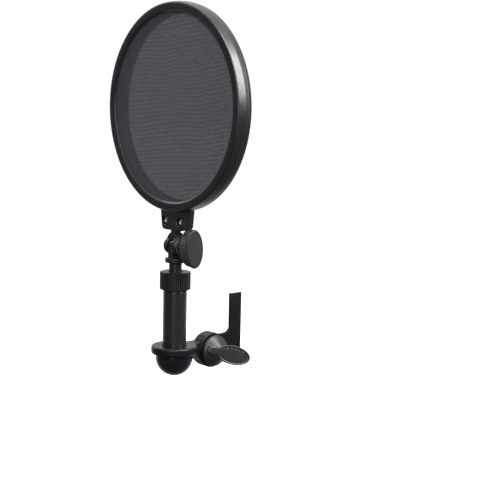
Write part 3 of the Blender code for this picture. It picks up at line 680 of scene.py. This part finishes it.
def fork():
    """Round ears under a saddle, a collared neck and the spigot that the block holds, as one moulding."""
    left = [(0, -6.6), (4.7, -6.6), (5.2, -6.45), (5.6, -6.1), (5.8, -5.6), (5.8, -3.4), (5.55, -3.05)]
    left += [(5.2, -2.95), (0, -2.95)]
    head = make("hinge_head", lathe(left, 72), TILT, TO_X)
    right = [(0, 2.95), (5.6, 2.95), (6.05, 3.05), (6.35, 3.4), (6.4, 4.0), (6.3, 5.0), (5.9, 5.8)]
    right += [(5.3, 6.3), (4.8, 6.6), (0, 6.6)]
    ear = make("ear", lathe(right, 72), TILT, TO_X)
    corners = [(-2.9, 9.0, 1.4), (-5.9, 5.2, 0.9), (-4.9, 2.6, 0)]
    corners += [(4.9, 2.6, 0), (5.9, 5.2, 0.9), (2.9, 9.0, 1.4)]
    saddle = make("saddle", slab(rounded(corners, 5), -3.2, 3.2, 0.5), TILT, XZ_PRISM)
    top = BLOCK_BASE + 0.9
    collared = [(0, 7), (3.1, 7), (3.1, 9.6), (3.6, 9.75), (3.6, BLOCK_BASE - 0.3), (3.1, BLOCK_BASE - 0.1)]
    neck = make("neck", lathe(collared + [(3.1, top), (0, top)], 48), TILT)
    corners = square(-3.4, BLOCK_BASE + 0.3, 3.4, BLOCK_BASE + 11.2)
    spigot = make("spigot", slab(corners, -1.8, 3.6), TILT, XZ_PRISM)
    combine(head, "UNION", ear, saddle, neck, spigot)
    combine(head, "DIFFERENCE", pin("sweep", 5.1, -2.9, 2.9, 64, TILT, TO_X))
    melt(head, 0.22, 3)
    bore = pin("bore", TILT_BORE_R, -9, 9, 40, TILT, TO_X)
    seat = make("seat", slab(arc(6.7 / math.sqrt(3), 6, 30), -9, -3.9), TILT, TO_X)
    combine(head, "DIFFERENCE", bore, seat)
    show(head, "head", "black_plastic", "moulded", "hinge_fork", sharp=50, weighted=False)


def knob():
    """An oval thumb knob: a ribbed flank, a raised rim and a face that is dished inside a fine groove."""
    back, face = 8.3, 20.8
    shape = [(0, 15.3), (2.2, 15.3), (2.2, back)]
    stations = [
        (back, 6.2, 5.9), (back + 0.1, 6.7, 6.3), (back + 0.35, 7.0, 6.5), (back + 1.1, 7.1, 6.6),
        (back + 1.4, 6.9, 6.4), (back + 1.55, 6.3, 5.8), (11.7, 6.1, 5.6), (12.0, 6.5, 5.7),
        (12.1, 10.9, 5.9), (12.25, 11.5, 6.2), (12.7, 12.0, 6.5), (13.3, 12.2, 6.65), (16.5, 12.5, 6.85),
        (face - 1.9, 12.85, 7.05), (face - 1.35, 13.0, 7.1), (face - 0.95, 12.95, 7.07),
        (face - 0.5, 12.72, 6.88), (face - 0.15, 12.36, 6.55), (face, 11.95, 6.18),
        (face - 0.03, 11.75, 6.02), (face - 0.3, 11.6, 5.92), (face - 0.3, 11.4, 5.76),
        (face - 0.1, 11.25, 5.64), (face - 0.14, 8.0, 4.0), (face - 0.18, 4.0, 2.0),
    ]
    steps = 160
    ribs = 52
    turns = [2 * math.pi * k / steps for k in range(steps)]
    bm = bmesh.new()
    loops = [[bm.verts.new((0, 0, shape[0][1]))]]
    for r, z in shape[1:]:
        loops.append([bm.verts.new((r * math.cos(t), r * math.sin(t), z)) for t in turns])
    for i, (z, long, short) in enumerate(stations):
        loop = []
        for t in turns:
            flank = 8 < i < 14
            rib = 0.2 * (math.cos(ribs * t) - 1) if flank else 0
            loop.append(bm.verts.new(((short + rib) * math.cos(t), (long + rib) * math.sin(t), z)))
        loops.append(loop)
    loops.append([bm.verts.new((0, 0, face - 0.18))])
    for a, b in zip(loops, loops[1:]):
        for k in range(steps):
            corners = [a[k % len(a)], a[(k + 1) % len(a)], b[(k + 1) % len(b)], b[k % len(b)]]
            bm.faces.new(list(dict.fromkeys(corners)))
    body = make("knob", bm, TILT, Matrix.Rotation(math.radians(4), 4, "X") @ YZ_PRISM)
    show(body, "knob", "knob_plastic", "knob", "tilt_knob", sharp=40)


def tongue():
    """The plate between the fork's ears, on its thrust collar and stud."""
    drop = 58.8 - TILT_RISE
    outline = arc(4.5, 28, 0, 180) + [(-4.5, drop - 1), (4.5, drop - 1)]
    plate = make("hinge_plate", slab(outline, -2.65, 2.65, 0.4), TILT, YZ_PRISM)
    low = drop - 2.4
    washer = [(0, low), (6.6, low), (6.88, low + 0.1), (7.0, low + 0.3), (7.0, drop + 0.2)]
    washer += [(6.9, drop + 0.45), (6.7, drop + 0.57), (6.1, drop + 0.6), (4.9, drop + 0.62)]
    washer += [(4.7, drop + 0.8), (0, drop + 0.8)]
    thrust = make("thrust", lathe(washer, 96), TILT)
    end = [(0, drop - 10.2), (1.9, drop - 10.2), (2.2, drop - 9.9), (2.2, drop - 1), (0, drop - 1)]
    stud = make("stud", lathe(end, 40), TILT)
    bore = pin("bore", TILT_BORE_R, -9, 9, 40, TILT, TO_X)
    combine(plate, "UNION", thrust, stud)
    combine(plate, "DIFFERENCE", bore)
    show(plate, "rod", "black_metal", "steel_paint", "hinge_tongue")


# ---- Post ------------------------------------------------------------------------------------------------


def post():
    """The painted tube and rod, and the knurled collar between them."""
    tube = [(5.9, -2.7), (7.7, -2.7), (7.95, -2.45), (7.95, 35.7), (7.9, 35.8), (7.9, 36.0), (7.95, 36.1)]
    tube += [(7.95, 36.9), (7.8, 37.2), (7.35, 37.4), (7.35, 44.7), (6.95, 45.3), (6.2, 45.3), (5.9, 45.0)]
    show(make("post_tube", lathe(tube, 128), POST), "arm", "tube_paint", "tube_paint", "outer_tube", sharp=28)
    rod_top = 58.8 - 2.4 - GAP
    rod = [(0, 5.4), (2.7, 5.4), (3.0, 5.7), (3.0, 13.3), (4.0, 13.3), (4.3, 13.6), (4.3, rod_top - 0.3)]
    rod += [(4.0, rod_top), (2.7, rod_top), (2.5, rod_top - 0.2), (2.5, rod_top - 8.3), (0, rod_top - 8.3)]
    show(make("post_rod", lathe(rod, 96), POST), "rod", "tube_paint", "tube_paint", "inner_rod", sharp=28)
    base, top = 38.2, 50.3
    ridges, per = 48, 10
    outside = [(9.6, base), (9.85, base + 0.12)]
    first = len(outside)
    outside += [(10.05, base + 0.35), (10.08, base + 0.7), (10.08, top - 0.7), (10.05, top - 0.4)]
    last = len(outside)
    outside += [(9.85, top - 0.15), (9.6, top - 0.02), (9.2, top), (8.9, top)]
    inside = [(5.0, top), (4.8, top - 0.2), (4.8, top - 1.5), (6.1, top - 1.5), (7.65, top - 3.7)]
    inside += [(7.65, base + 0.3), (7.9, base)]

    def knurl(angle, index):
        if not first <= index < last:
            return 0
        wave = math.cos(ridges * angle)
        return 0.27 * max(-1, min(1, 2.2 * wave + 0.5))

    collar = make("post_collar", lathe(outside + inside, ridges * per, ripple=knurl), POST)
    show(collar, "collar", "collar_metal", "collar", "knurled_collar", sharp=38)


# ---- Arm and dome ----------------------------------------------------------------------------------------

HALF = 4.45
PLATE_R = 12.0
PIVOT_Y = (PIVOT.y - POST.y) / MM
PIVOT_DROP = (POST.z - PIVOT.z) / MM
X_RANGES = {"A": (-4.45, -2.85), "B": (-2.1, -0.5), "C": (0.25, 1.9), "D": (2.65, 4.45)}
SWEEP_R = 12.4  # what a plate needs to turn in
CLAMP_BORE_R = 2.8
BOLT_HOLE_R = 2.7  # in the nut and the lever


def room_for(plate):
    """The disc of space that a knuckle plate turns in."""
    low, high = X_RANGES[plate]
    return pin("space", SWEEP_R, low - GAP, high + GAP, 96, PIVOT, TO_X)


def clamp_bore():
    return pin("bore", CLAMP_BORE_R, -9, 9, 48, PIVOT, TO_X)


def arm():
    """The flange under the tube, a short web, and knuckle plates A and C."""
    lip = [(2.4, -3.0), (2.4, -7.5), (9.6, -7.5), (9.6, -5.5), (14.2, -5.5), (14.85, -5.38), (15.3, -5.05)]
    lip += [(15.55, -4.5), (15.6, -4.0), (15.6, -1.3), (15.48, -0.75), (15.15, -0.28), (14.7, -0.06)]
    lip += [(14.2, 0), (9.1, 0), (8.7, -0.12), (8.25, -0.5), (8.25, -3.0)]
    body = make("arm_casting", lathe(lip, 144), POST)
    start = 10 - PIVOT_Y
    upper, lower = PIVOT_DROP - 0.25, PIVOT_DROP - 5.25
    corners = [(start, upper, 0), (start, lower, 0), (-17, lower, 3), (-10.6, -5.6, 0)]
    lead = rounded(corners, 6)[:-1]
    plate = lead + arc(PLATE_R, 64, -152, 152 + 144.5)
    for name in "AC":
        low, high = X_RANGES[name]
        combine(body, "UNION", make("plate", slab(plate, low, high, 0.45, 4), PIVOT, YZ_PRISM))
    root = lead + [(-11.4, -6.0), (-11.4, PIVOT_DROP - 0.3)]
    level = [(a, min(b, PIVOT_DROP - 0.3)) for a, b in root]
    web = make("web", slab(level, -HALF + 0.05, HALF - 0.05, 0.5), PIVOT, YZ_PRISM)
    beside = pin("beside", SWEEP_R, X_RANGES["D"][0] - GAP, 6, 96, PIVOT, TO_X)
    combine(web, "DIFFERENCE", room_for("B"), beside)
    combine(body, "UNION", web)
    combine(body, "DIFFERENCE", clamp_bore())
    show(body, "arm", "black_plastic", "casting", "arm", sharp=32)


def dome():
    """The hollow cap under the flange."""
    top, base, radius = -5.8, -20.8, 12.5
    outer, inner = [], []
    for k in range(25):
        t = math.pi / 2 * k / 24
        outer.append((radius * math.sin(t), base + (top - 2.2 - base) * (1 - math.cos(t))))
        rise = (top - 3.2 - base - 1.5) * (1 - math.cos(t))
        inner.append(((radius - 1.5) * math.sin(t), base + 1.5 + rise))
    outline = outer + [(12.5, top - 0.8), (12.42, top - 0.45), (12.2, top - 0.15), (11.9, top)]
    outline += [(10.2, top), (10.0, top - 0.2), (10.0, top - 1.2)]
    outline += inner[::-1]
    show(make("dome", lathe(outline, 144), POST), "arm", "cap_plastic", "dome", "dome_cap", sharp=40)


# ---- Leg and clamp ---------------------------------------------------------------------------------------


def leg():
    """A flat strap with a shallow band cut along its back edge, and a foot with knuckle plates B and D."""
    left = 51.0 - PIVOT_Y - 5.0
    right = left + 10.0
    top = 38.0
    full = arc(PLATE_R, 64, 65, 360 - 65 - 48.6)
    corners = [(right, -9.0, 7), (right, top, 0), (left, top, 0), (left, 10.9, 6)]
    ends = [(*full[-1], 0)], [(*full[0], 0)]
    outline = full[:-1] + rounded(ends[0] + corners + ends[1], 10)[:-1]
    body = make("leg_casting", slab(outline, X_RANGES["D"][0], HALF, 0.5, 4), PIVOT, YZ_PRISM)
    foot = make("foot", slab(outline, X_RANGES["B"][0], X_RANGES["B"][1], 0.45, 4), PIVOT, YZ_PRISM)
    above = [(6, 8.0), (40, 8.0), (40, 60), (-20, 60), (-20, 12.4), (6, 12.4)]
    combine(foot, "DIFFERENCE", make("above", slab(above, -9, 9), PIVOT, YZ_PRISM))
    combine(body, "UNION", foot)
    root = rounded([(11.6, -8.6, 0), (right - 0.05, -8.95, 7), (right - 0.05, 7.95, 1.5), (11.6, 7.95, 0)], 8)
    core = make("core", slab(root, X_RANGES["B"][0] + 0.05, HALF - 0.05, 0.45), PIVOT, YZ_PRISM)
    combine(core, "DIFFERENCE", room_for("C"))
    strap = rounded([(a, b, 0) for a, b in square(left + 0.03, 12.0, right - 0.03, top)])
    combine(body, "UNION", core, make("strap", slab(strap, HALF - 2.6, HALF - 0.04, 0.45), PIVOT, YZ_PRISM))
    combine(body, "DIFFERENCE", clamp_bore())
    end = slab(square(left - 5, top, right + 5, top + 5), -9, 9)
    combine(body, "DIFFERENCE", make("end", end, PIVOT, YZ_PRISM))
    band = square(right - 3.0, -4, right + 1, top + 1)
    combine(body, "DIFFERENCE", make("band", slab(band, HALF - 0.35, HALF + 2), PIVOT, YZ_PRISM))
    show(body, "leg", "black_metal", "casting", "mount_leg", sharp=32)


def clamp():
    """The hex nut, the bolt with its threaded end, and their washers."""
    nut_top = -HALF - GAP - 1 - GAP
    nut = make("hex_nut", slab(arc(8.0 / math.sqrt(3), 6, 30), nut_top - 4, nut_top), PIVOT, TO_X)
    crown = [(0, nut_top - 4), (4.0, nut_top - 4), (4.75, nut_top - 3.55), (4.75, nut_top - 0.45)]
    crown += [(4.0, nut_top), (0, nut_top)]
    combine(nut, "INTERSECT", make("crown", lathe(crown, 64), PIVOT, TO_X))
    combine(nut, "DIFFERENCE", pin("bore", BOLT_HOLE_R, -16, 0, 48, PIVOT, TO_X))
    show(nut, "arm", "zinc", "zinc", "clamp_nut")
    low = nut_top - 5.0
    bolt = [(0, low), (1.7, low), (2.1, low + 0.35)]
    for k in range(12):
        z = low + 0.5 + 0.7 * k
        bolt += [(2.15, z), (2.4, z + 0.3), (2.4, z + 0.4)]
    bolt += [(2.4, 11.1), (2.1, 11.4), (0, 11.4)]
    show(make("clamp_screw", lathe(bolt, 48), PIVOT, TO_X), "lever", "zinc", "zinc", "clamp_bolt")
    for name, body, node, outer, low, high in (
        ("washer_lever", "lever", "lever_washer", 9.0, HALF + GAP, HALF + GAP + 0.8),
        ("washer_nut", "arm", "nut_washer", 5.2, -HALF - GAP - 1, -HALF - GAP),
    ):
        e = 0.18
        ring = [(CLAMP_BORE_R, low), (outer - e, low), (outer, low + e)]
        ring += [(outer, high - e), (outer - e, high), (CLAMP_BORE_R, high)]
        show(make(name, lathe(ring, 80), PIVOT, TO_X), body, "zinc", "zinc", node)


NECK_STEPS = 40
# Along the neck from the hub to the paddle: y, x of the middle, half thickness and half height.
NECK_SECTIONS = (
    (-9.9, -0.9, 0.9, 1.0),
    (-9.4, -0.7, 1.7, 1.9),
    (-8, -0.5, 2.3, 2.7),
    (-5, -0.5, 2.6, 3.4),
    (-2, -0.6, 2.6, 4.1),
    (1, -0.6, 2.4, 4.8),
    (4.5, -0.2, 1.7, 5.5),
)
RIDGE_STEP = 2.9


def wing_lever():
    """A conical hub, a neck across it, and an oval paddle with a raised rim and grip ridges in its hollow."""
    base = HALF + 2 * GAP + 0.8
    hub = [(0, base), (10.2, base), (10.6, base + 0.15), (10.8, base + 0.6), (10.75, base + 1.3)]
    hub += [(10.3, base + 1.95), (5.9, base + 5.9), (5.2, base + 6.4), (4.4, base + 6.85)]
    hub += [(3.4, base + 7.15), (2.0, base + 7.3), (0, base + 7.35)]
    lever = make("lever", lathe(hub, 96), PIVOT, TO_X)
    droop = Matrix.Rotation(math.radians(-17), 4, "X")
    outward = Matrix.Rotation(math.radians(-21), 4, "Z")
    lean = Matrix.Translation((12.0, 0, 0)) @ droop @ outward
    to_pad = lean @ Matrix.Translation((0, 9.5, 0)) @ TO_X
    pad = [(0, -1.9), (0.86, -1.75), (0.94, -1.45), (0.985, -0.9), (1.0, -0.2), (1.0, 0.8), (0.985, 1.35)]
    pad += [(0.95, 1.75), (0.915, 1.88), (0.88, 1.82), (0.85, 1.65), (0.82, 1.5), (0, 1.45)]
    paddle = make("paddle", lathe(pad, 96, (6.6, 12.9)), PIVOT, to_pad)
    bm = bmesh.new()
    loops = []
    for y, x, thick, tall in NECK_SECTIONS:
        loop = []
        for k in range(NECK_STEPS):
            t = 2 * math.pi * k / NECK_STEPS
            c, d = math.cos(t), math.sin(t)
            fuller = (c**4 + d**4) ** -0.25  # from a round section to one between round and square
            loop.append(bm.verts.new((x + thick * c * fuller, y, tall * d * fuller)))
        loops.append(loop)
    for a, b in zip(loops, loops[1:]):
        for k in range(NECK_STEPS):
            bm.faces.new((a[k - 1], a[k], b[k], b[k - 1]))
    bm.faces.new(loops[0])
    bm.faces.new(loops[-1])
    neck = make("neck", bm, PIVOT, lean)
    combine(lever, "UNION", paddle, neck)
    for k in range(-2, 3):
        length = 3.6 * math.sqrt(1 - (k * RIDGE_STEP / 10.6) ** 2)
        ridge = arc(0.6, 8, 0, 180, (0, length)) + arc(0.6, 8, 180, 180, (0, -length))
        bar = slab(ridge, 1.1, 2.25, 0.25)
        along = Matrix.Translation((0, 10.2 + k * RIDGE_STEP, 0))
        at = lean @ along @ TO_X @ Matrix.Rotation(math.radians(90), 4, "Z")
        combine(lever, "UNION", make("ridge", bar, PIVOT, at))
    melt(lever, 0.2, 3)
    combine(lever, "DIFFERENCE", pin("bore", BOLT_HOLE_R, 0, 11.7, 48, PIVOT, TO_X))
    show(lever, "lever", "lever_plastic", "lever", "wing_lever", sharp=45, weighted=False)


# ---- All together ----------------------------------------------------------------------------------------

CLOTH = (0.0235, 0.0212, 0.033)
MATERIALS = {
    "rim": plastic("rim_black", (0.0075, 0.0075, 0.0082), 0.30, 0.35 * MM, 0.006 * MM, 0.25, 0.36),
    "hoop": plastic("hoop_black", (0.010, 0.010, 0.0105), 0.5, 0.4 * MM, 0.012 * MM, 0.0, 0.15),
    "moulded": plastic("hinge_black", (0.006, 0.006, 0.0063), 0.32, 0.3 * MM, 0.008 * MM, 0.3, 0.35),
    "knob": plastic("knob_grey", (0.016, 0.016, 0.0165), 0.42, 0.28 * MM, 0.012 * MM, 0.3, 0.25),
    "dome": plastic("dome_black", (0.005, 0.005, 0.007), 0.24, 0.6 * MM, 0.002 * MM, 0.1, 0.25),
    "lever": plastic("lever_black", (0.008, 0.008, 0.008), 0.40, 0.45 * MM, 0.014 * MM, 0.4, 0.35),
    "sleeve": plastic("sleeve_black", (0.012, 0.012, 0.012), 0.5, 0.4 * MM, 0.010 * MM, 0.0, 0.15),
    "casting": paint("casting_paint", (0.0042, 0.0042, 0.0047), 0.33, 0.35, 0.16),
    "steel_paint": paint("steel_paint", (0.007, 0.007, 0.007), 0.34, 0.5, 0.25),
    "tube_paint": paint("tube_paint", (0.006, 0.006, 0.0062), 0.30, 0.05, 0.45, 0.0008 * MM),
    "collar": paint("collar_paint", (0.008, 0.008, 0.0078), 0.40, 0.6, 0.2),
    "nickel": metal("nickel_plate", (0.66, 0.61, 0.50), 0.20, stain=(0.12, 0.10, 0.07)),
    "brass": metal("brass_turned", (0.70, 0.52, 0.25), 0.32, (0.1, 1, 1)),
    "zinc": metal("zinc_plate", (0.55, 0.55, 0.56), 0.36, (0.12, 1, 1)),
    "cloth_front": woven("cloth_front", CLOTH, (0.46 * MM, 0.46 * MM), 0.4, 0.56, 0.28),
    "cloth_rear": woven("cloth_rear", CLOTH, (0.590 * MM, 0.565 * MM), -0.5, 0.57, 0.28),
}

PLAIN_NODES = {
    "tube_plug": "zinc",
    "tube_washer": "zinc",
    "tube_screw": "zinc",
    "rod_clip": "zinc",
    "tilt_nut": "zinc",
    "tilt_bolt": "zinc",
    "tilt_washer": "zinc",
    "collet": "sleeve",
    "guide_bush": "sleeve",
    "block_insert_left": "brass",
    "block_insert_right": "brass",
}


def dress_nodes():
    """The CAD nodes whose own shapes stay get their full materials."""
    for node, material in PLAIN_NODES.items():
        obj = frame["nodes"][node]
        for slot in obj.material_slots:
            slot.link = "OBJECT"
            slot.material = MATERIALS[material]


camera()
studio()
front_ring()
rear_ring()
screen()
block_screws()
fork()
knob()
tongue()
post()
arm()
dome()
leg()
clamp()
wing_lever()
dress_nodes()
